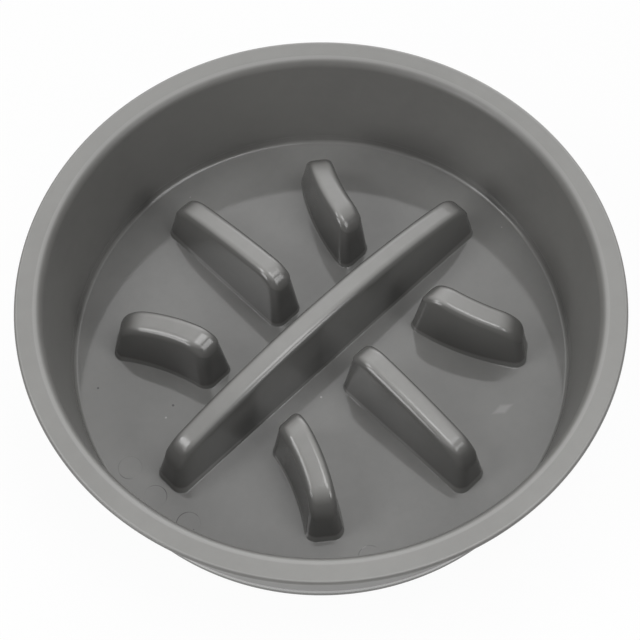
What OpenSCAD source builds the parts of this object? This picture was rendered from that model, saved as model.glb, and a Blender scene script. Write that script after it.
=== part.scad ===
// Slow feeder bowl: a wide shallow pet bowl whose floor carries seven hollow ridges, on four rubber feet.
// The origin is on the table under the middle of the bowl. The long bar runs along X.

/* [Bowl] */
// Outer diameter of the rim
rim_d = 250; // [235:1:290]
// Height from the table to the top of the rim
bowl_h = 58; // [52:0.5:70]
// Diameter of the mouth, where the inner wall would meet the top of the rim
mouth_d = 228; // [220:1:232]
// Outer diameter of the foot ring
base_d = 220; // [210:1:224]
// Thickness of the wall at the floor, measured level
heel_t = 3.5; // [3:0.1:5]
// Thickness of the rim flange
rim_t = 3; // [2:0.1:4]
// Thickness of the wall just under the rim
wall_t = 3; // [2:0.1:4]
// Thickness of the floor
floor_t = 2.5; // [2:0.1:3.5]
// Height of the floor's upper face above the table
floor_z = 6; // [5.5:0.1:9]
// Width of the foot ring's lower face
ring_w = 3; // [2:0.1:4]
// Radius of the round from the wall up onto the rim
lip_r = 3.5; // [1:0.1:5]
// Radius of the round between wall and floor
heel_r = 2.5; // [1:0.1:5]
// Radius of the round under the rim, where the flange meets the outer wall
neck_r = 2; // [0.5:0.1:3]
// Radius of the foot ring's two edges
ring_edge_r = 0.8; // [0.2:0.1:0.9]

/* [Ridges] */
// Height of the ridges above the floor, at the middle of the bowl
ridge_h = 36; // [28:0.5:42]
// Radius of the shallow dome that all the ridge tops follow
crown_r = 300; // [250:5:600]
// Width of a ridge at the floor
ridge_w = 16; // [14:0.1:18]
// Width of a straight ridge at its top, before the edges are rounded
ridge_top_w = 9.4; // [8.5:0.1:12]
// Width of a curved ridge at its top, before the edges are rounded
bend_top_w = 10.4; // [8.5:0.1:12]
// Gap between the outer ends of the straight ridges and the edge of the floor
ridge_gap = 16.5; // [11:0.5:24]
// Gap between the outer ends of the curved ridges and the edge of the floor
bend_gap = 18; // [11:0.5:24]
// Gap between the long bar and the inner ends of the other ridges
lane_w = 11; // [8:0.5:14]
// Radius of the rounded corners of a ridge, seen from above
ridge_corner_r = 4.5; // [3:0.1:6]
// Radius of the rounded long edges along the top
ridge_edge_r = 2.5; // [1:0.1:3]
// Radius of the large round where the top turns down to an end
ridge_end_r = 9; // [5:0.1:12]
// How far the end face leans in from the floor to the top, from the mould's draft
ridge_end_draft = 2.6; // [1:0.1:5]
// Radius of the small round where a ridge meets the floor
ridge_foot_r = 1; // [0.5:0.1:1.5]
// Thickness of the ridges' walls, which are hollow from below
ridge_wall_t = 2.4; // [2:0.1:2.8]
// Radius of the bend of the curved ridges
bend_r = 95; // [85:1:120]
// Distance along the bar from the middle to the inner end of a curved ridge
bend_start_x = 41.5; // [38:0.5:48]
// Angle between a curved ridge and the crosswise line at its inner end
bend_lean = 8.5; // [0:0.5:14]

/* [Feet] */
// Diameter of a rubber foot
foot_d = 12; // [9:0.1:12.4]
// How far the feet hold the foot ring off the table
foot_proud = 1; // [0.5:0.1:1.5]
// Distance from the middle of a foot out to the foot ring's inner face
foot_inset = 8.5; // [8:0.1:9.5]
// Radius of a foot's lower edge
foot_edge_r = 0.8; // [0.2:0.1:1]
// Wall of the ring socket that holds a foot
socket_t = 1.2; // [0.8:0.1:1.3]
// Gap between a foot and its socket
socket_gap = 0.1; // [0.05:0.01:0.2]

/* [Hidden] */
bowl_grey = "#7c7c79";
rubber_grey = "#3a3a3b";
foot_count = 4;

// Inner and outer wall: half widths at the height of the floor and of the rim
mouth_r = mouth_d / 2;
base_r = base_d / 2;
floor_r = base_r - heel_t;
rim_r = rim_d / 2;
ring_z = foot_proud;
under_floor_z = floor_z - floor_t;
under_rim_z = bowl_h - rim_t;
neck_x = mouth_r + wall_t;
inner_lean = atan((mouth_r - floor_r) / (bowl_h - floor_z));
outer_lean = atan((neck_x - base_r) / (under_rim_z - ring_z));
// The foot ring's inner face stands square, up to the underside of the floor
ring_in_r = base_r - ring_w;
nose_r = rim_t / 2;

// Ridges: one long bar, two straight ridges square to it and four curved ones
ridge_reach = floor_r - ridge_gap;
bend_reach = floor_r - bend_gap;
lane_start = ridge_w / 2 + lane_w;
bar_len = 2 * ridge_reach;
cross_len = ridge_reach - lane_start;
bend_x = bend_start_x + bend_r * cos(bend_lean);
bend_y = lane_start - bend_r * sin(bend_lean);
// Angle at which an arc of radius r about the bend's centre starts, so the inner end is cut along the bar
function bend_in(r) = asin((lane_start - bend_y) / r);
// Angle at which the bend's middle line is bend_reach from the middle of the bowl
bend_far = norm([bend_x, bend_y]);
bend_turn = acos((bend_r ^ 2 + bend_far ^ 2 - bend_reach ^ 2) / (2 * bend_r * bend_far));
bend_out = bend_turn - atan(bend_y / bend_x);
bend_len = bend_r * (bend_out - bend_lean) * PI / 180;
core_edge_r = ridge_edge_r / 2;

// Feet
foot_r = foot_d / 2;
foot_reach = ring_in_r - foot_inset;
foot_turn = 360 / foot_count;
socket_r = foot_r + socket_gap;

// Steps round the bowl and the feet, over small rounds and along a ridge
bowl_facets = 180;
foot_facets = 48;
round_steps = 6;
edge_steps = 4;
foot_steps = 3;
corner_steps = 4;
end_steps = 4;
bar_steps = 12;
step_len = bar_len / bar_steps;
// The small round at a ridge's foot stops this share of its radius above the floor, for a clean join
foot_hair_share = 0.04;
// How far a ridge's solid reaches down into the floor, and how far cuts run past a face
sink = floor_t / 2;
overrun = floor_t / 4;

// Points of an arc about c, from angle a to angle b
function arc(c, r, a, b, steps = round_steps) =
    [for (i = [0:steps]) c + r * [cos(a + (b - a) * i / steps), sin(a + (b - a) * i / steps)]];

// Middle of a round of radius r between a level face at z, which the wall's line meets at x, and that wall.
// up and out say on which side of the two the middle lies.
function round_mid(x, z, r, lean, up, out) = [x + up * r * tan(lean) + out * r / cos(lean), z + up * r];

module bowl_profile() {
    heel = round_mid(floor_r, floor_z, heel_r, inner_lean, 1, -1);
    lip = round_mid(mouth_r, bowl_h, lip_r, inner_lean, -1, 1);
    nose = [rim_r - nose_r, bowl_h - nose_r];
    neck = round_mid(neck_x, under_rim_z, neck_r, outer_lean, -1, 1);
    ring_out = round_mid(base_r, ring_z, ring_edge_r, outer_lean, 1, -1);
    ring_in = [ring_in_r + ring_edge_r, ring_z + ring_edge_r];
    polygon(concat(
        [[0, floor_z]],
        arc(heel, heel_r, -90, -inner_lean),
        arc(lip, lip_r, 180 - inner_lean, 90),
        arc(nose, nose_r, 90, -90, 2 * round_steps),
        arc(neck, neck_r, 90, 180 - outer_lean),
        arc(ring_out, ring_edge_r, -outer_lean, -90, edge_steps),
        arc(ring_in, ring_edge_r, -90, -180, edge_steps),
        [[ring_in_r, under_floor_z], [0, under_floor_z]]
    ));
}

// Outline of a ridge seen from above: s runs along it and w across it. It is drawn in by side_in at the
// sides and by end_in at the ends. The first half of the points is the right side, going forwards, and
// the second half is the left side, coming back. Points lie closer over the end rounds.
function right_side(len, half_w, end_in, r) =
    let (s0 = end_in + r, s1 = len - s0, n = ceil(len / step_len))
    let (a = s0 + ridge_end_r, b = s1 - ridge_end_r)
    concat(
        arc([s0, r - half_w], r, 180, 270, corner_steps),
        [for (i = [1:end_steps]) [s0 + (a - s0) * i / end_steps, -half_w]],
        [for (i = [1:n - 1]) [a + (b - a) * i / n, -half_w]],
        [for (i = [0:end_steps - 1]) [b + (s1 - b) * i / end_steps, -half_w]],
        arc([s1, r - half_w], r, 270, 360, corner_steps)
    );
function left_side(right) = [for (i = [len(right) - 1:-1:0]) [right[i][0], -right[i][1]]];
function outline(len, side_in, end_in, r) =
    let (right = right_side(len, ridge_w / 2 - side_in, end_in, r)) concat(right, left_side(right));

// Height above the floor of the dome that the ridge tops follow
function crown(p) = ridge_h - crown_r + sqrt(crown_r ^ 2 - p[0] ^ 2 - p[1] ^ 2);

// Drop below the dome at s, where the top turns down to an end. The hollow's is drawn in by in.
function end_drop(s, len, in) =
    let (r = ridge_end_r - in, d = max(min(s, len - s) - ridge_end_draft - in, 0))
    d < r ? r - sqrt(r ^ 2 - (r - d) ^ 2) : 0;

// Layers of a ridge from the bottom up, each [side_in, end_in, corner radius, level, drop, in].
// A layer with a level lies flat at that height above the floor. The others lie a drop below the dome.
function foot_layer(spread, level) = [-spread, -spread, ridge_corner_r + spread, level, undef, 0];
function edge_layers(draft, in, r, corner_r) =
    [for (i = [0:edge_steps]) let (a = 90 * i / edge_steps, f = in + r * (1 - cos(a)))
        [draft + f, ridge_end_draft + f, corner_r * (1 + cos(a)) / 2, undef, in + r * (1 - sin(a)), in]];
function ridge_layers(draft) = concat(
    [foot_layer(ridge_foot_r, -sink)],
    [for (i = [0:foot_steps]) let (a = 90 * i / foot_steps)
        foot_layer(ridge_foot_r * (1 - sin(a)), ridge_foot_r * max(1 - cos(a), foot_hair_share))],
    edge_layers(draft, 0, ridge_edge_r, ridge_corner_r - draft / 2)
);
// The hollow inside a ridge keeps the wall's thickness all round and is open under the floor
function core_layers(draft) = concat(
    [for (level = [-floor_t - overrun, 0])
        [ridge_wall_t, ridge_wall_t, ridge_corner_r - ridge_wall_t, level, undef, 0]],
    edge_layers(draft, ridge_wall_t, core_edge_r, core_edge_r)
);
// The outside or the inside of a ridge whose top has the given width
function layers(top_w, hollow) =
    let (draft = (ridge_w - top_w) / 2) hollow ? core_layers(draft) : ridge_layers(draft);

// Solid skinned over the layers. place(s, w) gives the point of the floor plan for a point of the outline.
module skin(len, layers, place) {
    rings = [for (l = layers) [for (p = outline(len, l[0], l[1], l[2])) let (q = place(p[0], p[1]))
        [q[0], q[1], floor_z + (is_undef(l[4]) ? l[3] : crown(q) - l[4] - end_drop(p[0], len, l[5]))]]];
    n = len(rings[0]);
    top = len(rings) - 1;
    sides = [for (k = [0:top - 1], i = [0:n - 1]) let (j = (i + 1) % n, low = k * n, high = low + n)
        each [[low + i, high + i, high + j], [low + i, high + j, low + j]]];
    lid = [for (i = [0:n / 2 - 2]) let (right = top * n + i, left = top * n + n - 1 - i)
        each [[right, left, left - 1], [right, left - 1, right + 1]]];
    bottom = [[for (i = [0:n - 1]) i]];
    polyhedron([for (ring = rings) each ring], concat(sides, lid, bottom));
}

module bent_ridge(hollow) {
    skin(bend_len, layers(bend_top_w, hollow), function(s, w)
        let (r = bend_r + w, a_in = bend_in(r), a = a_in + (bend_out - a_in) * s / bend_len)
        [bend_x - r * cos(a), bend_y + r * sin(a)]);
}

// All seven ridges, or the hollows inside them
module ridges(hollow) {
    straight = layers(ridge_top_w, hollow);
    skin(bar_len, straight, function(s, w) [s - ridge_reach, w]);
    for (turn = [0, 180]) rotate(turn) {
        skin(cross_len, straight, function(s, w) [-w, s + lane_start]);
        bent_ridge(hollow);
        mirror([1, 0, 0]) bent_ridge(hollow);
    }
}

// Puts its children at the place of one foot
module at_foot(i) {
    rotate(foot_turn * (i - 1 / 2)) translate([foot_reach, 0, 0]) children();
}

module bowl() {
    color(bowl_grey) difference() {
        union() {
            rotate_extrude($fn = bowl_facets) bowl_profile();
            ridges(hollow = false);
            for (i = [1:foot_count]) at_foot(i) translate([0, 0, ring_z])
                cylinder(r = socket_r + socket_t, h = under_floor_z + sink - ring_z, $fn = foot_facets);
        }
        ridges(hollow = true);
        for (i = [1:foot_count]) at_foot(i) translate([0, 0, ring_z - overrun])
            cylinder(r = socket_r, h = under_floor_z - ring_z + overrun, $fn = foot_facets);
    }
}

// A round rubber foot that is pressed up into its socket until it meets the floor
module foot(i) {
    color(rubber_grey) at_foot(i) rotate_extrude($fn = foot_facets) polygon(concat(
        [[0, 0]],
        arc([foot_r - foot_edge_r, foot_edge_r], foot_edge_r, -90, 0, edge_steps),
        [[foot_r, under_floor_z], [0, under_floor_z]]
    ));
}

bowl();
foot(1);  // foot_1
foot(2);  // foot_2
foot(3);  // foot_3
foot(4);  // foot_4
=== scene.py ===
import math
import bpy
import bmesh
import numpy as np
from mathutils import Matrix, Vector
from mathutils.geometry import delaunay_2d_cdt


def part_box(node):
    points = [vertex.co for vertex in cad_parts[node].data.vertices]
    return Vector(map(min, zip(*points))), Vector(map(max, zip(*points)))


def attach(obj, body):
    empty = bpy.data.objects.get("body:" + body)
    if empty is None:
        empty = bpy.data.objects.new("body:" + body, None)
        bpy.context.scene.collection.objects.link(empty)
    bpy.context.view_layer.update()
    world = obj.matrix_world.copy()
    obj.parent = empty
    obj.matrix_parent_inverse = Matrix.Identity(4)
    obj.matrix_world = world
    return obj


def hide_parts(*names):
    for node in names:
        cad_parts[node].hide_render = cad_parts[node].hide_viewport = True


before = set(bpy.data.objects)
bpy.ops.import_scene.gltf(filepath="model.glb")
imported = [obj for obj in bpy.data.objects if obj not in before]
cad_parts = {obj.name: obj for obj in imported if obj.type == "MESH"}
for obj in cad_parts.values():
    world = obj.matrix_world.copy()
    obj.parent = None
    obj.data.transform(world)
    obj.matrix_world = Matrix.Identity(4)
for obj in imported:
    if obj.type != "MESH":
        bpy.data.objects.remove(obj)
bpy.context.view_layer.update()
mm = 0.001
planTolerance = 1e-7
seamTolerance = 3e-7


# Points on an arc: middle + radius * (cos a, sin a), with a running evenly from start to end in degrees
def arc(middle, radius, start, end, steps):
    a = np.radians(np.linspace(start, end, steps + 1))
    return np.stack([middle[0] + radius * np.cos(a), middle[1] + radius * np.sin(a)], -1)


# Straight run from p to q: (1 - t) p + t q at each share t of its length
def run(p, q, shares):
    t = np.asarray(shares, float)[:, None]
    return (1 - t) * np.asarray(p, float) + t * np.asarray(q, float)


# Arcs in a row, each joined to the next by a straight run
def joined(arcs, shares):
    parts = [arcs[0]]
    for here, there in zip(arcs[:-1], arcs[1:]):
        parts += [run(here[-1], there[0], shares), there]
    return np.concatenate(parts)


# A profile of (distance, height) pairs turned about a vertical axis: x = r cos a, y = r sin a, z = h
def revolved(profile, segments, centre=(0, 0)):
    a = np.arange(segments) * 2 * math.pi / segments
    r, h = profile[:, :1], profile[:, 1:]
    x, y = centre[0] + r * np.cos(a), centre[1] + r * np.sin(a)
    return np.stack([x, y, np.broadcast_to(h, x.shape)], -1)


# Collects surfaces as whole arrays of points and faces, then joins them into one mesh
class Skin:
    def __init__(self):
        self.points, self.faces, self.count = [], [], 0

    def add(self, points, faces):
        self.points.append(points.reshape(-1, 3))
        self.faces += (np.asarray(faces) + self.count).tolist()
        self.count += len(self.points[-1])

    # Grid of points: corner (i, j) joins (i, j+1), (i+1, j+1) and (i+1, j). A closed grid wraps round in j.
    def grid(self, points, closed=False, turned=False):
        rows, cols = points.shape[:2]
        i = np.arange(rows - 1)[:, None]
        j = np.arange(cols if closed else cols - 1)[None, :]
        k = (j + 1) % cols
        quads = np.stack([i * cols + j, i * cols + k, (i + 1) * cols + k, (i + 1) * cols + j], -1)
        quads = quads.reshape(-1, 4)
        self.add(points, quads[:, ::-1] if turned else quads)

    # Flat plate at height z inside the ring named outer, with the rings in holes left open, as triangles between
    # the rings' points. A step spreads points over it, in rows that far apart, so that it can be bent later.
    def plate(self, outer, holes, z, turned=False, step=None):
        rings = [outer] + holes
        flat = np.concatenate(rings + ([spread(rings, step)] if step else []))
        starts = np.cumsum([0] + [len(r) for r in rings])
        edges = np.concatenate([
            np.stack([s + np.arange(n), s + (np.arange(n) + 1) % n], -1)
            for s, n in zip(starts, [len(r) for r in rings])])
        found = delaunay_2d_cdt(flat.tolist(), edges.tolist(), [], 1, planTolerance)
        corners = np.array([list(v) for v in found[0]])
        faces = np.array([list(f) for f in found[2]])
        middles = corners[faces].mean(1)
        keep = inside(middles, outer)
        for hole in holes:
            keep &= ~inside(middles, hole)
        faces = faces[keep]
        a, b, c = (corners[faces[:, k]] for k in range(3))
        area = (b - a)[:, 0] * (c - a)[:, 1] - (b - a)[:, 1] * (c - a)[:, 0]
        faces[area < 0] = faces[area < 0][:, ::-1]
        points = np.column_stack([corners, np.full(len(corners), z)])
        self.add(points, faces[:, ::-1] if turned else faces)

    # Joins points that meet at seams, prints what the mesh holds and puts the piece into the scene
    def finish(self, name, material):
        mesh = bpy.data.meshes.new(name)
        mesh.from_pydata(np.concatenate(self.points).tolist(), [], self.faces)
        shape = bmesh.new()
        shape.from_mesh(mesh)
        bmesh.ops.remove_doubles(shape, verts=shape.verts, dist=seamTolerance)
        openEdges = sum(1 for e in shape.edges if len(e.link_faces) != 2)
        volume = shape.calc_volume(signed=True)
        shape.to_mesh(mesh)
        shape.free()
        mesh.polygons.foreach_set("use_smooth", np.ones(len(mesh.polygons), bool))
        mesh.materials.append(material)
        piece = bpy.data.objects.new(name, mesh)
        bpy.context.scene.collection.objects.link(piece)
        tris = sum(len(p.vertices) - 2 for p in mesh.polygons)
        print("made", name, tris, "triangles, open edges", openEdges, "volume cm3", round(volume * 1e6, 2))
        return piece


# Points in staggered rows, step apart, that are inside the first ring and at least half a step from every ring
def spread(rings, step):
    count = int(np.abs(rings[0]).max() / step) + 1
    i, j = np.meshgrid(np.arange(-count, count + 1), np.arange(-count, count + 1))
    points = np.stack([(i + 0.5 * (j % 2)).ravel() * step, j.ravel() * step], -1)
    points = points[inside(points, rings[0])]
    marks = np.concatenate(rings)
    near = np.array([((marks - q) ** 2).sum(-1).min() for q in points])
    return points[near > (step / 2) ** 2]


# True for each point inside a ring: the number of ring edges crossed on the way out along X is odd
def inside(points, ring):
    a, b = ring, np.roll(ring, -1, 0)
    x, y = points[:, :1], points[:, 1:]
    spans = (a[:, 1] > y) != (b[:, 1] > y)
    rise = np.where(b[:, 1] == a[:, 1], 1, b[:, 1] - a[:, 1])
    cross = a[:, 0] + (y - a[:, 1]) / rise * (b[:, 0] - a[:, 0])
    return (spans & (x < cross)).sum(1) % 2 == 1


# One node socket that sums can be written on. Each sum adds a Math node, with the number on either side.
class Wire:
    def __init__(self, finish, socket):
        self.finish, self.socket = finish, socket

    def math(self, operation, *others):
        values = {i: v for i, v in enumerate((self,) + others)}
        return self.finish.add("Math", {"operation": operation}, values).out()

    def __add__(self, other): return self.math("ADD", other)
    def __radd__(self, other): return self.math("ADD", other)
    def __sub__(self, other): return self.math("SUBTRACT", other)
    def __mul__(self, other): return self.math("MULTIPLY", other)
    def __rmul__(self, other): return self.math("MULTIPLY", other)

    def __rsub__(self, other):
        return self.finish.add("Math", {"operation": "SUBTRACT"}, {0: other, 1: self}).out()

    # 0 below low, 1 above high, smooth between
    def step(self, low, high):
        settings = {"interpolation_type": "SMOOTHSTEP"}
        return self.finish.add("MapRange", settings, {"Value": self, 1: low, 2: high, 3: 0.0, 4: 1.0}).out()


# A node just added, which gives its outputs as wires
class Added:
    def __init__(self, finish, node):
        self.finish, self.node = finish, node

    def out(self, name=0):
        return Wire(self.finish, self.node.outputs[name])


# The node tree of a material or of the room. add takes a node's type, settings, and values or wires for sockets.
class Finish:
    def __init__(self, owner):
        self.owner = owner
        owner.use_nodes = True
        self.tree = owner.node_tree
        self.tree.nodes.clear()

    def add(self, kind, settings=None, values=None):
        node = self.tree.nodes.new("ShaderNode" + kind)
        for key, value in (settings or {}).items():
            setattr(node, key, value)
        for key, value in (values or {}).items():
            if isinstance(value, Wire):
                self.tree.links.new(value.socket, node.inputs[key])
            else:
                node.inputs[key].default_value = value
        return Added(self, node)

    def place(self):
        return self.add("TexCoord").out("Object")

    def noise(self, scale, detail, roughness):
        values = {"Vector": self.place(), "Scale": scale, "Detail": detail, "Roughness": roughness}
        return self.add("TexNoise", {}, values).out()

    # Colour a where factor is 0 and colour b where it is 1
    def blend(self, factor, a, b):
        node = self.add("Mix", {"data_type": "RGBA"}).node
        for key, value in (("Factor", factor), ("A", a), ("B", b)):
            entry = [s for s in node.inputs if s.name == key and s.enabled][0]
            if isinstance(value, Wire):
                self.tree.links.new(value.socket, entry)
            else:
                entry.default_value = value
        return Wire(self, [s for s in node.outputs if s.enabled][0])

    def end(self, shader, kind="OutputMaterial"):
        self.add(kind, {}, {"Surface": shader})
        return self.owner


# Grey plastic from one mould: a polished floor, satin ridges, wall and rim, faint flow marks and a soft ripple.
# dark and light mix by the flow marks, floorDark and floorLight do so on the floor's plate, whose lighter tones are
# painted light. The colours on the rim's top and on the ridges' tops are painted light, the one on the rim's inner
# round is a painted highlight, shaded is painted shade on the ridges' sides, the one round the pin marks is painted
# shade in their grooves and the bright patch on the floor is a painted highlight. Noises are scale, detail and
# roughness. A span is where a smooth step starts and ends.
plastic = {
    "ior": 1.58,
    "dark": (0.144, 0.142, 0.137, 1), "light": (0.171, 0.169, 0.161, 1),
    "floorDark": (0.204, 0.203, 0.198, 1), "floorLight": (0.236, 0.235, 0.228, 1),
    "rimTopPaintedLight": (0.265, 0.263, 0.254, 1), "ridgeTopPaintedLight": (0.278, 0.276, 0.268, 1),
    "lip": (0.32, 0.318, 0.31, 1), "shaded": (0.090, 0.089, 0.087, 1),
    "grooveShade": (0.045, 0.045, 0.042, 1), "floorHighlightTone": (0.42, 0.42, 0.41, 1),
    "paintedLightLeast": 0.7, "sideShare": 0.5, "lipHighlightShare": 0.6,
    "floorRoughness": 0.01, "ridgeRoughness": 0.2, "wallRoughness": 0.42, "underRoughness": 0.34,
    "smudgeRoughness": 0.012,
    "aboveSpan": (9 * mm, 11 * mm), "underSpan": (5.6 * mm, 5.8 * mm), "wallSpan": (104 * mm, 108 * mm),
    "facingSpan": (0.7, 0.97), "lipSpan": (0.84, 0.94), "flatSpan": (0.985, 0.999),
    "flow": (9.0, 3.0, 0.55), "fine": (160.0, 3.0, 0.6), "flowShare": 0.75, "shadeSpan": (0.3, 0.7),
    "smudge": (30.0, 4.0, 0.6), "smudgeSpan": (0.35, 0.75),
    "ripple": (38.0, 1.0, 0.4), "rippleDepth": 0.04 * mm, "grain": (1500.0, 2.0, 0.5), "grainDepth": 0.012 * mm,
}
# A painted highlight on the floor: a bright soft patch with its middle at x and y, turned by turn degrees, long by
# wide
floorHighlight = {"x": 34 * mm, "y": -75 * mm, "turn": -18, "long": 6.8 * mm, "wide": 2.9 * mm, "span": (0.35, 1.0),
         "amount": 0.42}
speck = {"soft": 0.5, "amount": 0.7, "warmth": 0.97,
         "all": [(-81, 54, 0.6, 0.02), (-64, 25, 0.7, 0.02), (-70, 23, 0.55, 0.5), (-17, -17, 0.6, 0.5),
                 (100, -14, 0.4, 0.45), (-96, -22, 0.35, 0.05), (62, 70, 0.35, 0.05), (12, 96, 0.35, 0.45)]}

# Ejector pin marks on the floor: a hairline round a disc that stands a touch low. starts is, for each mark, the
# direction towards which the painted shade in its hairline groove is strongest.
pinMark = {"angles": (170, 180, 191, 237), "reach": 97.5 * mm, "radius": 5 * mm,
           "band": 0.2 * mm, "line": 0.16 * mm, "depth": 0.045 * mm, "sunk": 0.015 * mm, "segments": 48,
           "starts": (165, 5, 70, 90), "wide": 0.22 * mm, "sideSpan": (0.5 * mm, 3 * mm), "sideLeast": 0.04,
           "noise": (140.0, 1.0, 0.5), "noiseSpan": (0.42, 0.62), "noiseLeast": 0.4, "amount": 0.7}


# A painted highlight on the floor, a soft diamond: 1 where |u| + |v| is small, 0 past 1, with u along its length and
# v across it
def floorHighlightMask(x, y):
    c, d = math.cos(math.radians(floorHighlight["turn"])), math.sin(math.radians(floorHighlight["turn"]))
    along = (x - floorHighlight["x"]) * c + (y - floorHighlight["y"]) * d
    across = (y - floorHighlight["y"]) * c - (x - floorHighlight["x"]) * d
    far = (along * (1 / floorHighlight["long"])).math("ABSOLUTE") + (across * (1 / floorHighlight["wide"])).math("ABSOLUTE")
    return (1 - far.step(*floorHighlight["span"])) * floorHighlight["amount"]


# Painted shade in the pin marks' hairline grooves, as thin dark arcs: 1 where the distance to a mark's middle is
# its radius, 0 from wide off it, strongest towards the mark's start and faded by noise
def grooveShadeMask(f, x, y):
    p = pinMark
    faded = f.noise(*p["noise"]).step(*p["noiseSpan"])
    total = 0
    for angle, start in zip(p["angles"], p["starts"]):
        a, b = math.radians(angle), math.radians(start)
        u, v = x - p["reach"] * math.cos(a), y - p["reach"] * math.sin(a)
        off = ((u * u + v * v).math("SQRT") - p["radius"]).math("ABSOLUTE")
        side = (u * math.cos(b) + v * math.sin(b)).step(*p["sideSpan"])
        total = (1 - off.step(p["wide"] / 2, p["wide"])) * (p["sideLeast"] + (1 - p["sideLeast"]) * side) + total
    return total * (p["noiseLeast"] + (1 - p["noiseLeast"]) * faded) * p["amount"]


# Specks of dust and wear on the floor: 1 inside a speck's radius, given as x, y, radius in mm and grey
def specked(f, colour):
    for x, y, radius, grey in speck["all"]:
        values = {0: f.place(), 1: (x * mm, y * mm, bowl["floorHeight"] + crownRise(x * mm, y * mm))}
        away = f.add("VectorMath", {"operation": "DISTANCE"}, values).out("Value")
        mask = 1 - away.step(radius * mm * speck["soft"], radius * mm)
        colour = f.blend(mask * speck["amount"], colour, (grey, grey, grey * speck["warmth"], 1))
    return colour


# above is 1 over the floor, below 1 on the underside, wall 1 from the wall outwards, facing 1 where the surface
# looks up
def plasticFinish():
    p = plastic
    f = Finish(bpy.data.materials.new("grey_gloss_plastic"))
    axes = f.add("SeparateXYZ", {}, {0: f.place()})
    x, y, z = axes.out("X"), axes.out("Y"), axes.out("Z")
    shade = f.noise(*p["flow"]) * p["flowShare"] + f.noise(*p["fine"]) * (1 - p["flowShare"])
    shade = shade.step(*p["shadeSpan"])
    above = z.step(*p["aboveSpan"])
    below = 1 - z.step(*p["underSpan"])
    wall = (x * x + y * y).math("SQRT").step(*p["wallSpan"])
    lift = f.add("SeparateXYZ", {}, {0: f.add("NewGeometry").out("Normal")}).out("Z")
    facing = lift.step(*p["facingSpan"])

    onSide = above * (1 - wall) * (1 - facing) * p["sideShare"]
    # Painted light: faces over the floor that look up get lighter colours, one on the rim's top, one on the ridges'
    # tops
    paintedLightOnTop = above * facing * (p["paintedLightLeast"] + (1 - p["paintedLightLeast"]) * shade)
    # Painted highlight: a lighter colour on the rim's inner round, between the wall and the flat top
    lipHighlight = above * wall * lift.step(*p["lipSpan"]) * (1 - lift.step(*p["flatSpan"])) * p["lipHighlightShare"]
    onFloor = (1 - above) * (1 - below)
    colour = f.blend(onSide, f.blend(shade, p["dark"], p["light"]), p["shaded"])
    # Painted light on the tops that look up
    colour = f.blend(paintedLightOnTop, colour, f.blend(wall, p["ridgeTopPaintedLight"], p["rimTopPaintedLight"]))
    # Painted highlight on the rim's inner round
    colour = f.blend(lipHighlight, colour, p["lip"])
    # Painted light: the floor's plate gets lighter tones than the rest of the same plastic
    colour = f.blend((1 - above) * (1 - wall), colour, f.blend(shade, p["floorDark"], p["floorLight"]))
    # Painted shade in the pin marks' grooves
    colour = f.blend(grooveShadeMask(f, x, y) * onFloor, colour, p["grooveShade"])
    # Painted highlight: a bright patch on the floor
    colour = specked(f, f.blend(floorHighlightMask(x, y) * onFloor, colour, p["floorHighlightTone"]))

    smudge = f.noise(*p["smudge"]).step(*p["smudgeSpan"])
    rough = p["floorRoughness"] + above * (p["ridgeRoughness"] - p["floorRoughness"])
    rough = rough + wall * (p["wallRoughness"] - p["ridgeRoughness"])
    rough = rough + below * (p["underRoughness"] - p["floorRoughness"]) + smudge * p["smudgeRoughness"]
    soft = f.add("Bump", {}, {"Strength": 1.0, "Distance": p["rippleDepth"], "Height": f.noise(*p["ripple"])})
    bump = f.add("Bump", {}, {"Strength": 1.0, "Distance": p["grainDepth"], "Height": f.noise(*p["grain"]),
                              "Normal": soft.out()})
    body = f.add("BsdfPrincipled", {}, {
        "Base Color": colour, "Roughness": rough, "Normal": bump.out(), "IOR": p["ior"]})
    return f.end(body.out())


# The round bowl: floor, leaning wall, flat rim and foot ring as one turned profile. shares are the places of the
# rings of points along each straight run.
bowl = {
    "mouthRadius": 114 * mm, "baseRadius": 110 * mm, "heelThickness": 3.5 * mm, "rimThickness": 3 * mm,
    "wallThickness": 3 * mm, "floorThickness": 2.5 * mm, "floorHeight": 6 * mm, "ringWidth": 3 * mm,
    "lipRadius": 4.5 * mm, "heelRadius": 1.6 * mm, "neckRadius": 2 * mm, "ringEdge": 0.8 * mm,
    "flatBand": 0.5 * mm, "underBand": 0.1 * mm, "crown": 2 * mm, "underCrown": 90 * mm, "plateStep": 5 * mm,
    "heelSteps": 10, "lipSteps": 14, "noseSteps": 16, "neckSteps": 8, "ringSteps": 6,
    "segments": 288, "shares": (0.01, 0.06, 0.25, 0.5, 0.75, 0.94, 0.99),
}
low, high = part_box("bowl")
bowl["rimRadius"] = high.x
bowl["top"] = high.z
bowl["ringBottom"] = low.z
bowl["floorRadius"] = bowl["baseRadius"] - bowl["heelThickness"]
bowl["underFloor"] = bowl["floorHeight"] - bowl["floorThickness"]


# Middle of a round between a level face at z and a wall that leans by lean degrees and would meet it at x. up and
# out say on which side of them it lies: x + up * radius * tan(lean) + out * radius / cos(lean), z + up * radius.
def roundMiddle(x, z, radius, lean, up, out):
    t = math.radians(lean)
    return x + up * radius * math.tan(t) + out * radius / math.cos(t), z + up * radius


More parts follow.
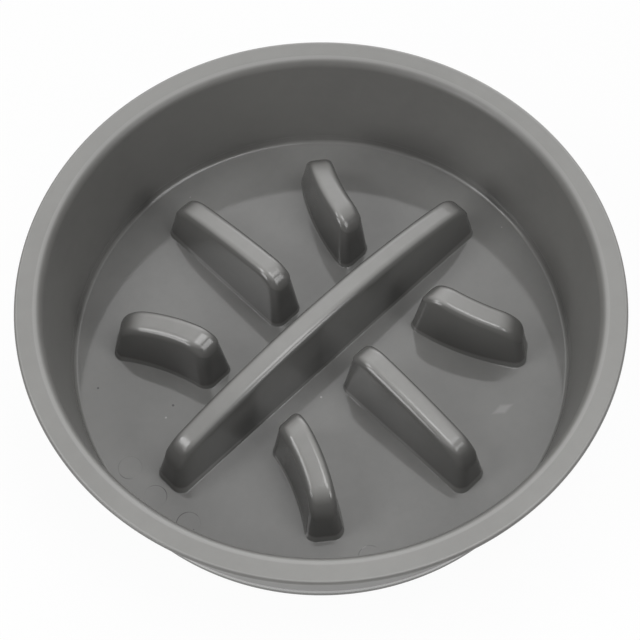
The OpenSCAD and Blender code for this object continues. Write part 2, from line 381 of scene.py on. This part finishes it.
# Profile of the bowl from the floor's edge up the inside, over the rim, down the outside, round the foot ring and
# back in under the floor
def bowlProfile():
    b = bowl
    underRim = b["top"] - b["rimThickness"]
    neckX = b["mouthRadius"] + b["wallThickness"]
    inLean = math.degrees(math.atan((b["mouthRadius"] - b["floorRadius"]) / (b["top"] - b["floorHeight"])))
    outLean = math.degrees(math.atan((neckX - b["baseRadius"]) / (underRim - b["ringBottom"])))
    ringIn, edge = b["baseRadius"] - b["ringWidth"], b["ringEdge"]
    nose = b["rimThickness"] / 2
    heel = roundMiddle(b["floorRadius"], b["floorHeight"], b["heelRadius"], inLean, 1, -1)
    lip = roundMiddle(b["mouthRadius"], b["top"], b["lipRadius"], inLean, -1, 1)
    neck = roundMiddle(neckX, underRim, b["neckRadius"], outLean, -1, 1)
    ringOut = roundMiddle(b["baseRadius"], b["ringBottom"], edge, outLean, 1, -1)
    return joined([
        np.array([[heel[0] - b["flatBand"], b["floorHeight"]]]),
        arc(heel, b["heelRadius"], -90, -inLean, b["heelSteps"]),
        arc(lip, b["lipRadius"], 180 - inLean, 90, b["lipSteps"]),
        arc((b["rimRadius"] - nose, b["top"] - nose), nose, 90, -90, b["noseSteps"]),
        arc(neck, b["neckRadius"], 90, 180 - outLean, b["neckSteps"]),
        arc(ringOut, edge, -outLean, -90, b["ringSteps"]),
        arc((ringIn + edge, b["ringBottom"] + edge), edge, -90, -180, b["ringSteps"]),
        arc((ringIn - edge, b["underFloor"] - edge), edge, 0, 90, b["ringSteps"]),
        np.array([[ringIn - edge - b["underBand"], b["underFloor"]]]),
    ], b["shares"])


# Ridges: the long bar, two straight ones square to it and four bent ones. gap is how far their outer ends stay from
# the wall, lane the way left free beside the bar, and the shares are the rings' places along a straight run.
ridge = {
    "height": 36 * mm, "domeRadius": 300 * mm, "width": 16 * mm, "topWidth": 10.2 * mm, "bentTopWidth": 11.0 * mm,
    "gap": 16.5 * mm, "bentGap": 18 * mm, "lane": 11 * mm, "cornerRadius": 4.5 * mm, "edgeRadius": 3.4 * mm,
    "topCornerRadius": 4.2 * mm, "lidCornerRadius": 1.6 * mm, "endRadius": 11.5 * mm, "endDraft": 2.6 * mm,
    "endLean": 12, "footRadius": 0.4 * mm, "skirt": 0.5 * mm, "wall": 2.4 * mm, "mouthRadius": 0.4 * mm,
    "bendRadius": 95 * mm, "bendStart": 41.5 * mm, "bendLean": 8.5,
    "cornerSteps": 9, "endSteps": 9, "edgeSteps": 9, "footSteps": 6, "mouthSteps": 3, "hollowSteps": 4,
    "stepLength": 4 * mm, "lidShares": (0, 0.05, 0.2, 0.4, 0.6, 0.8, 0.95, 1),
    "sideShares": (0.02, 0.08, 0.22, 0.4, 0.6, 0.78, 0.92, 0.98), "hollowShares": (0.03, 0.3, 0.6, 0.97),
}


# Height of the dome that all ridge tops follow, a sphere's cap: height - R + sqrt(R^2 - r^2)
def domeHeight(xy):
    r2 = (xy ** 2).sum(-1)
    return ridge["height"] - ridge["domeRadius"] + np.sqrt(ridge["domeRadius"] ** 2 - r2)


# Drop below the dome near an end, along a circle that leaves the end face at its lean and turns level on the top:
# R - sqrt(R^2 - (reach - d)^2), with d the way in from the end and reach = R cos(lean)
def endDrop(s, length, inset):
    radius = ridge["endRadius"] - inset
    reach = radius * math.cos(math.radians(ridge["endLean"]))
    d = np.clip(np.minimum(s, length - s) - ridge["endDraft"] - inset, 0, reach)
    return radius - np.sqrt(radius ** 2 - (reach - d) ** 2)


# Rounded oblong, counter-clockwise, drawn in by sideIn and endIn: right side out, far end, left side back, near
# end. Also how much each point faces sideways, which is the square of the sine of its direction, and the number of
# points on the right side.
def oblong(length, sideIn, endIn, radius):
    q = ridge
    half = q["width"] / 2 - sideIn
    s0, s1 = endIn + radius, length - endIn - radius
    a, b = s0 + q["endRadius"], s1 - q["endRadius"]
    middle = max(2, math.ceil((length - 2 * q["endRadius"]) / q["stepLength"]))
    near = np.linspace(s0, a, q["endSteps"] + 1)[1:]
    far = np.linspace(b, s1, q["endSteps"] + 1)[:-1]
    along = np.concatenate([near, np.linspace(a, b, middle + 1)[1:-1], far])
    right = np.concatenate([
        arc((s0, radius - half), radius, 180, 270, q["cornerSteps"]),
        np.stack([along, np.full(len(along), -half)], -1),
        arc((s1, radius - half), radius, 270, 360, q["cornerSteps"])])
    left = right[::-1] * [1, -1]
    shares = np.array(q["lidShares"])[1:-1]
    farEnd = run(right[-1], left[0], shares)
    nearEnd = run(left[-1], right[0], shares)
    turn = np.sin(np.linspace(0, math.pi / 2, q["cornerSteps"] + 1)) ** 2
    sideways = np.concatenate([turn, np.ones(len(along)), turn[::-1]])
    none = np.zeros(len(shares))
    outline = np.concatenate([right, farEnd, left, nearEnd])
    return outline, np.concatenate([sideways, none, sideways[::-1], none]), len(right)


# Places on the floor plan from s, the distance along a ridge, and w, the distance to its side. The bar runs along X
# and is halved by the bowl's middle, and a cross ridge runs along Y from the lane.
def barPlace(s, w):
    return np.stack([s - barLength / 2, w], -1)


def crossPlace(s, w):
    return np.stack([-w, s + laneStart], -1)


# Bent ridge: s runs along an arc about (bendX, bendY), turned by a = first + (bendEnd - first) * s / length, where
# first is the angle at which that arc leaves the lane, so the inner end is cut along the bar
def bentPlace(s, w):
    r = ridge["bendRadius"] + w
    first = np.arcsin((laneStart - bendY) / r)
    a = first + (bendEnd - first) * s / bentLength
    return np.stack([bendX - r * np.cos(a), bendY + r * np.sin(a)], -1)


laneStart = ridge["width"] / 2 + ridge["lane"]
barLength = 2 * (bowl["floorRadius"] - ridge["gap"])
crossLength = barLength / 2 - laneStart
bendX = ridge["bendStart"] + ridge["bendRadius"] * math.cos(math.radians(ridge["bendLean"]))
bendY = laneStart - ridge["bendRadius"] * math.sin(math.radians(ridge["bendLean"]))
bendFar = math.hypot(bendX, bendY)
bentReach = bowl["floorRadius"] - ridge["bentGap"]
bendCosine = (ridge["bendRadius"] ** 2 + bendFar ** 2 - bentReach ** 2) / (2 * ridge["bendRadius"] * bendFar)
bendEnd = math.acos(bendCosine) - math.atan2(bendY, bendX)
bentLength = ridge["bendRadius"] * (bendEnd - math.radians(ridge["bendLean"]))

# Each kind of ridge: length, place, width of its top, and the mirrorings in X and Y that it stands in
kinds = [
    (barLength, barPlace, ridge["topWidth"], [(1, 1)]),
    (crossLength, crossPlace, ridge["topWidth"], [(1, 1), (1, -1)]),
    (bentLength, bentPlace, ridge["bentTopWidth"], [(1, 1), (1, -1), (-1, 1), (-1, -1)]),
]


# Points of one layer: the oblong laid on the floor plan, at a level or at a drop below the dome. edgeDrop counts
# along the sides only, because at the ends endDrop does the rounding.
def layer(length, place, sideIn, endIn, radius, level=None, edgeDrop=0.0, inset=0.0):
    outline, sideways, _ = oblong(length, sideIn, endIn, radius)
    xy = place(outline[:, 0], outline[:, 1])
    if level is None:
        z = domeHeight(xy) - inset - edgeDrop * sideways - endDrop(outline[:, 0], length, inset)
    else:
        z = np.full(len(xy), level)
    return np.column_stack([xy, z + bowl["floorHeight"]])


# The outside of a ridge: foot round, leaning side, edge round, then a lid across the top
def ridgeSurface(length, place, topWidth):
    q = ridge
    fillet, edge, corner = q["footRadius"], q["edgeRadius"], q["cornerRadius"]
    draft = (q["width"] - topWidth) / 2
    lean = math.atan(draft / q["height"])
    out = fillet + q["skirt"]
    rings = [layer(length, place, -out, -out, corner + out, level=0.0)]
    for a in np.linspace(math.pi / 2, lean, q["footSteps"] + 1):
        flare = fillet * (1 - math.sin(lean)) / math.cos(lean) - fillet * math.cos(a)
        rings.append(layer(length, place, -flare, -flare, corner + flare, level=fillet * (1 - math.sin(a))))
    tops = []
    middle = edge * (1 - math.sin(lean)) / math.cos(lean)
    for a in np.linspace(lean, math.pi / 2, q["edgeSteps"] + 1):
        share = (1 - math.sin(a)) / (1 - math.sin(lean))
        topCorner = q["lidCornerRadius"] + (q["topCornerRadius"] - q["lidCornerRadius"]) * share
        endIn = q["endDraft"] + middle * (1 - math.cos(a) / math.cos(lean))
        tops.append(layer(length, place, draft + middle - edge * math.cos(a), endIn, topCorner,
                          edgeDrop=edge * (1 - math.sin(a))))
    side = [rings[-1] + (tops[0] - rings[-1]) * t for t in q["sideShares"]]
    lid = lidGrid(length, place, 0.0, q["lidCornerRadius"], draft + middle, q["endDraft"] + middle)
    return np.array(rings + side + tops), lid


# Grid across the top: each row goes from a right side's point over to the left side's, w * (1 - 2 * share)
def lidGrid(length, place, inset, radius, sideIn, endIn):
    outline, _, count = oblong(length, sideIn, endIn, radius)
    right = outline[:count]
    shares = np.array(ridge["lidShares"])
    s = np.repeat(right[:, :1], len(shares), 1)
    w = right[:, 1:] * (1 - 2 * shares)
    xy = place(s, w)
    z = domeHeight(xy) - inset - endDrop(s, length, inset) + bowl["floorHeight"]
    return np.concatenate([xy, z[..., None]], -1)


# The hollow inside a ridge, open under the floor, one wall's thickness in from the outside
def hollowSurface(length, place, topWidth):
    q = ridge
    draft = (q["width"] - topWidth) / 2
    wall, edge, mouth = q["wall"], q["edgeRadius"] / 2, q["mouthRadius"]
    corner = q["cornerRadius"] - wall
    out = mouth + q["skirt"]
    rings = [layer(length, place, wall - out, wall - out, corner + out, level=-bowl["floorThickness"])]
    for a in np.linspace(0, math.pi / 2, q["mouthSteps"] + 1):
        flare = mouth * (1 - math.sin(a))
        rise = mouth * (1 - math.cos(a)) - bowl["floorThickness"]
        rings.append(layer(length, place, wall - flare, wall - flare, corner + flare, level=rise))
    tops = []
    for a in np.linspace(0, math.pi / 2, q["hollowSteps"] + 1):
        inward = wall + edge * (1 - math.cos(a))
        tops.append(layer(length, place, draft + inward, q["endDraft"] + inward, edge * (1 + math.cos(a)) / 2,
                          edgeDrop=edge * (1 - math.sin(a)), inset=wall))
    side = [rings[-1] + (tops[0] - rings[-1]) * t for t in q["hollowShares"]]
    inward = wall + edge
    lid = lidGrid(length, place, wall, edge / 2, draft + inward, q["endDraft"] + inward)
    return np.array(rings + side + tops), lid


# A pin mark from outside in: flat band, hairline groove, band, then the sunk disc's edge for a plate
def pinSurface(angle):
    p = pinMark
    a = math.radians(angle)
    z = bowl["floorHeight"]
    sunk = z - p["sunk"]
    inner = p["radius"] - 2 * p["line"]
    profile = np.array([
        [p["radius"] + p["band"], z], [p["radius"], z], [p["radius"] - p["line"], z - p["depth"]],
        [inner, sunk], [inner - p["band"], sunk], [p["radius"] / 2, sunk]])
    return revolved(profile, p["segments"], (p["reach"] * math.cos(a), p["reach"] * math.sin(a)))


# Ring sockets under the floor that hold the feet
footSocket = {"gap": 0.1 * mm, "wall": 1.2 * mm, "edge": 0.25 * mm, "band": 0.15 * mm, "edgeSteps": 4,
              "segments": 64, "shares": (0.05, 0.5, 0.95)}
footNames = [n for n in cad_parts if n.startswith("foot_")]


# Middle of a foot on the floor plan
def footPlace(name):
    a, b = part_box(name)
    return (a.x + b.x) / 2, (a.y + b.y) / 2


footRadius = (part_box("foot_1")[1].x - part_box("foot_1")[0].x) / 2


def socketSurface(centre):
    s = footSocket
    inner = footRadius + s["gap"]
    outer = inner + s["wall"]
    top, bottom = bowl["underFloor"], bowl["ringBottom"]
    profile = joined([
        np.array([[outer + s["band"], top]]), np.array([[outer, top]]),
        arc((outer - s["edge"], bottom + s["edge"]), s["edge"], 0, -90, s["edgeSteps"]),
        arc((inner + s["edge"], bottom + s["edge"]), s["edge"], -90, -180, s["edgeSteps"]),
        np.array([[inner, top]]), np.array([[inner / 2, top]]),
    ], s["shares"])
    return revolved(profile, s["segments"], centre)


# The floor swells upwards: height added to its top at a place is crown * (1 - (r / floor radius)^2)
def crownRise(x, y):
    return bowl["crown"] * max(0, 1 - (x * x + y * y) / bowl["floorRadius"] ** 2)


# Points with the swelling added: crown times 1 - (r / floor radius)^2 on top and (1 - (r / underCrown)^2)^2 below,
# mixed evenly through the floor's thickness and fading to nothing at the ridge tops
def crowned(points):
    b = bowl
    r2 = (points[:, :2] ** 2).sum(-1)
    top = np.clip(1 - r2 / b["floorRadius"] ** 2, 0, 1)
    under = np.clip(1 - r2 / b["underCrown"] ** 2, 0, 1) ** 2
    share = np.clip((points[:, 2] - b["underFloor"]) / b["floorThickness"], 0, 1)
    fade = np.clip(1 - (points[:, 2] - b["floorHeight"]) / ridge["height"], 0, 1)
    rise = b["crown"] * fade * (under + (top - under) * share)
    return points + rise[:, None] * np.array([0, 0, 1])


# The whole moulding as one skin. The turned body, ridges, pin marks and sockets come first, and the rings where they
# meet the floor's top and underside become holes in two plates.
def makeBowl(material):
    skin = Skin()
    body = revolved(bowlProfile(), bowl["segments"])
    skin.grid(body, closed=True, turned=True)
    above, below = [], []
    for length, place, topWidth, turns in kinds:
        rings, lid = ridgeSurface(length, place, topWidth)
        hollow, ceiling = hollowSurface(length, place, topWidth)
        for fx, fy in turns:
            flip = np.array([fx, fy, 1])
            turned = fx * fy < 0
            skin.grid(rings * flip, closed=True, turned=turned)
            skin.grid(lid * flip, turned=not turned)
            skin.grid(hollow * flip, closed=True, turned=not turned)
            skin.grid(ceiling * flip, turned=turned)
            above.append((rings[0] * flip)[:, :2])
            below.append((hollow[0] * flip)[:, :2])
    for angle in pinMark["angles"]:
        mark = pinSurface(angle)
        skin.grid(mark, closed=True)
        skin.plate(mark[-1][:, :2], [], bowl["floorHeight"] - pinMark["sunk"])
        above.append(mark[0][:, :2])
    for name in footNames:
        ring = socketSurface(footPlace(name))
        skin.grid(ring, closed=True, turned=True)
        skin.plate(ring[-1][:, :2], [], bowl["underFloor"], turned=True)
        below.append(ring[0][:, :2])
    skin.plate(body[0][:, :2], above, bowl["floorHeight"], step=bowl["plateStep"])
    skin.plate(body[-1][:, :2], below, bowl["underFloor"], turned=True, step=bowl["plateStep"])
    skin.points = [crowned(p) for p in skin.points]
    return skin.finish("bowl_moulding", material)


bowlPiece = makeBowl(plasticFinish())
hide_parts("bowl")
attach(bowlPiece, "root")
print("bowl done")

# Rubber feet: a disc with a rounded edge and fine rings on the face that grips the table
foot = {"edge": 0.8 * mm, "rings": 3, "ringDepth": 0.18 * mm, "hub": 0.06, "lidShare": 0.95, "segments": 72,
        "faceSteps": 36, "edgeSteps": 8, "sideShares": (0.05, 0.5, 0.95, 1),
        "dark": (0.016, 0.016, 0.017, 1), "light": (0.03, 0.03, 0.031, 1), "ior": 1.5,
        "shade": (300.0, 4.0, 0.6), "shadeSpan": (0.35, 0.7), "roughness": 0.62, "roughnessRange": 0.14,
        "grain": (2600.0, 3.0, 0.6), "grainDepth": 0.03 * mm}


def rubberFinish():
    f = Finish(bpy.data.materials.new("black_rubber"))
    shade = f.noise(*foot["shade"]).step(*foot["shadeSpan"])
    bump = f.add("Bump", {}, {"Strength": 1.0, "Distance": foot["grainDepth"], "Height": f.noise(*foot["grain"])})
    rough = foot["roughness"] + shade * foot["roughnessRange"]
    body = f.add("BsdfPrincipled", {}, {
        "Base Color": f.blend(shade, foot["dark"], foot["light"]), "Roughness": rough,
        "Normal": bump.out(), "IOR": foot["ior"]})
    return f.end(body.out())


# From the middle of the grip face round to the middle of the top. The face's height is
# ring depth * (1 - cos(2 pi * rings * r / flat radius)) / 2, so the rings are shallow waves.
def footProfile(bottom, top):
    flat = footRadius - foot["edge"]
    r = np.linspace(foot["hub"], 1, foot["faceSteps"] + 1) * flat
    wave = foot["ringDepth"] * (1 - np.cos(2 * math.pi * foot["rings"] * r / flat)) / 2
    face = np.stack([r, bottom + wave], -1)
    edge = arc((flat, bottom + foot["edge"]), foot["edge"], -90, 0, foot["edgeSteps"])[1:]
    side = run(edge[-1], (footRadius, top), foot["sideShares"])
    lid = np.array([[footRadius * foot["lidShare"], top], [footRadius / 2, top]])
    return np.concatenate([face, edge, side, lid])


rubber = rubberFinish()
for name in footNames:
    a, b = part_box(name)
    skin = Skin()
    body = revolved(footProfile(a.z, b.z), foot["segments"], footPlace(name))
    skin.grid(body, closed=True)
    skin.plate(body[0][:, :2], [], body[0][0, 2], turned=True)
    skin.plate(body[-1][:, :2], [], body[-1][0, 2])
    piece = skin.finish("rubber_" + name, rubber)
    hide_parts(name)
    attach(piece, "root")
print("feet done")

# Pale floor, white for the camera and in reflections, that keeps a faint shadow
floor = {"size": 6.0, "colour": (0.82, 0.82, 0.82, 1), "white": 0.95, "mirrored": 0.95}


def floorFinish():
    f = Finish(bpy.data.materials.new("pale_floor"))
    path = f.add("LightPath")
    bounced = (path.out("Is Glossy Ray") + path.out("Is Transmission Ray")).math("MINIMUM", 1.0)
    seen = path.out("Is Camera Ray") * floor["white"] + bounced * floor["mirrored"]
    plain = f.add("BsdfDiffuse", {}, {"Color": floor["colour"]})
    glow = f.add("Emission", {}, {"Color": (1, 1, 1, 1), "Strength": 1.0})
    mix = f.add("MixShader", {}, {0: seen, 1: plain.out(), 2: glow.out()})
    return f.end(mix.out())


half = floor["size"] / 2
ground = bpy.data.meshes.new("floor")
ground.from_pydata([(-half, -half, 0), (half, -half, 0), (half, half, 0), (-half, half, 0)], [], [(0, 1, 2, 3)])
ground.materials.append(floorFinish())
groundPiece = bpy.data.objects.new("floor", ground)
bpy.context.scene.collection.objects.link(groundPiece)

# Camera: stands back and above, looking down, and turned about the bowl as in the photograph. Angles are in
# degrees, focal is the lens as a share of the sensor and sensor is in mm.
camera = {"back": 354.1 * mm, "above": 705.8 * mm, "down": 62.457, "tilt": -0.415, "pan": 0.0345, "turn": 44.5,
          "focal": 1825.5 / 640, "sensor": 36.0, "nearest": 0.05, "farthest": 20}


def makeCamera():
    c = camera
    t, d, k, left = (math.radians(c[n]) for n in ("turn", "down", "tilt", "pan"))
    over = np.array([0, math.sin(d), math.cos(d)])
    ahead = np.array([-math.sin(left), math.cos(d) * math.cos(left), -math.sin(d) * math.cos(left)])
    side = np.cross(ahead, over)
    right = side * math.cos(k) + over * math.sin(k)
    up = over * math.cos(k) - side * math.sin(k)
    spin = Matrix.Rotation(-t, 3, "Z")
    data = bpy.data.cameras.new("camera")
    data.sensor_width = c["sensor"]
    data.lens = c["focal"] * c["sensor"]
    data.clip_start, data.clip_end = c["nearest"], c["farthest"]
    made = bpy.data.objects.new("camera", data)
    axes = Matrix([right, up, -ahead]).transposed()
    place = Vector((0, -c["back"], c["above"] + bowl["floorHeight"]))
    made.matrix_world = Matrix.Translation(spin @ place) @ (spin @ axes).to_4x4()
    bpy.context.scene.collection.objects.link(made)
    bpy.context.scene.camera = made


# Soft studio light: a dim room that glows behind the bowl, two softboxes overhead and one low on each side of the
# camera, all as far away. turn and rise are in degrees as the camera sees them: turn 0 is behind the bowl, 90 on
# its right. A glow is narrower with more focus.
light = {
    "room": 0.1,
    "away": 1.5,
    "glows": {
        "behind": {"turn": 0, "rise": 64, "focus": 10.0, "level": 1.28},
        "behindLeft": {"turn": -27, "rise": 44, "focus": 34.0, "level": 0.6},
        "backdrop": {"turn": 14, "rise": 12, "focus": 9.0, "level": 3.0},
    },
    "lamps": {
        "overLeft": {"turn": -101, "rise": 50, "width": 0.48, "height": 0.5, "level": 5.7},
        "overRight": {"turn": 112, "rise": 70, "width": 0.48, "height": 0.75, "level": 4.4},
        "left": {"turn": -127, "rise": 24, "width": 0.66, "height": 0.8, "level": 5.2},
        "right": {"turn": 122, "rise": 31, "width": 0.53, "height": 0.66, "level": 4.6},
    },
}


# Unit vector for a turn and a rise: (sin a cos e, cos a cos e, sin e), with the camera's own turn added to a
def towards(turn, rise):
    a, e = math.radians(camera["turn"] + turn), math.radians(rise)
    return math.sin(a) * math.cos(e), math.cos(a) * math.cos(e), math.sin(e)


# A lamp faces the bowl from its turn and rise. Its power is level * pi * width * height, so level is how bright it
# looks.
def makeLamp(name, s):
    data = bpy.data.lights.new(name + "_lamp", "AREA")
    data.shape = "RECTANGLE"
    data.size, data.size_y = s["width"], s["height"]
    data.energy = s["level"] * math.pi * s["width"] * s["height"]
    made = bpy.data.objects.new(name + "_lamp", data)
    turn = Matrix.Rotation(-math.radians(camera["turn"] + s["turn"]), 4, "Z")
    lean = Matrix.Rotation(math.radians(s["rise"] - 90), 4, "X")
    made.matrix_world = turn @ lean @ Matrix.Translation((0, 0, light["away"]))
    bpy.context.scene.collection.objects.link(made)


# Room brightness in a direction: an even part, and for each glow a power of the cosine of the angle from it
def makeRoom():
    f = Finish(bpy.data.worlds.new("room"))
    ahead = f.add("TexCoord").out("Generated")
    level = light["room"]
    for glow in light["glows"].values():
        values = {0: ahead, 1: towards(glow["turn"], glow["rise"])}
        facing = f.add("VectorMath", {"operation": "DOT_PRODUCT"}, values).out("Value").math("MAXIMUM", 0.0)
        level = level + facing.math("POWER", glow["focus"]) * glow["level"]
    f.end(f.add("Background", {}, {"Color": (1, 1, 1, 1), "Strength": level}).out(), "OutputWorld")
    bpy.context.scene.world = f.owner


def makeLight():
    for name, settings in light["lamps"].items():
        makeLamp(name, settings)
    makeRoom()


makeCamera()
makeLight()
bpy.context.scene.view_settings.view_transform = "Standard"
print("camera and light done")
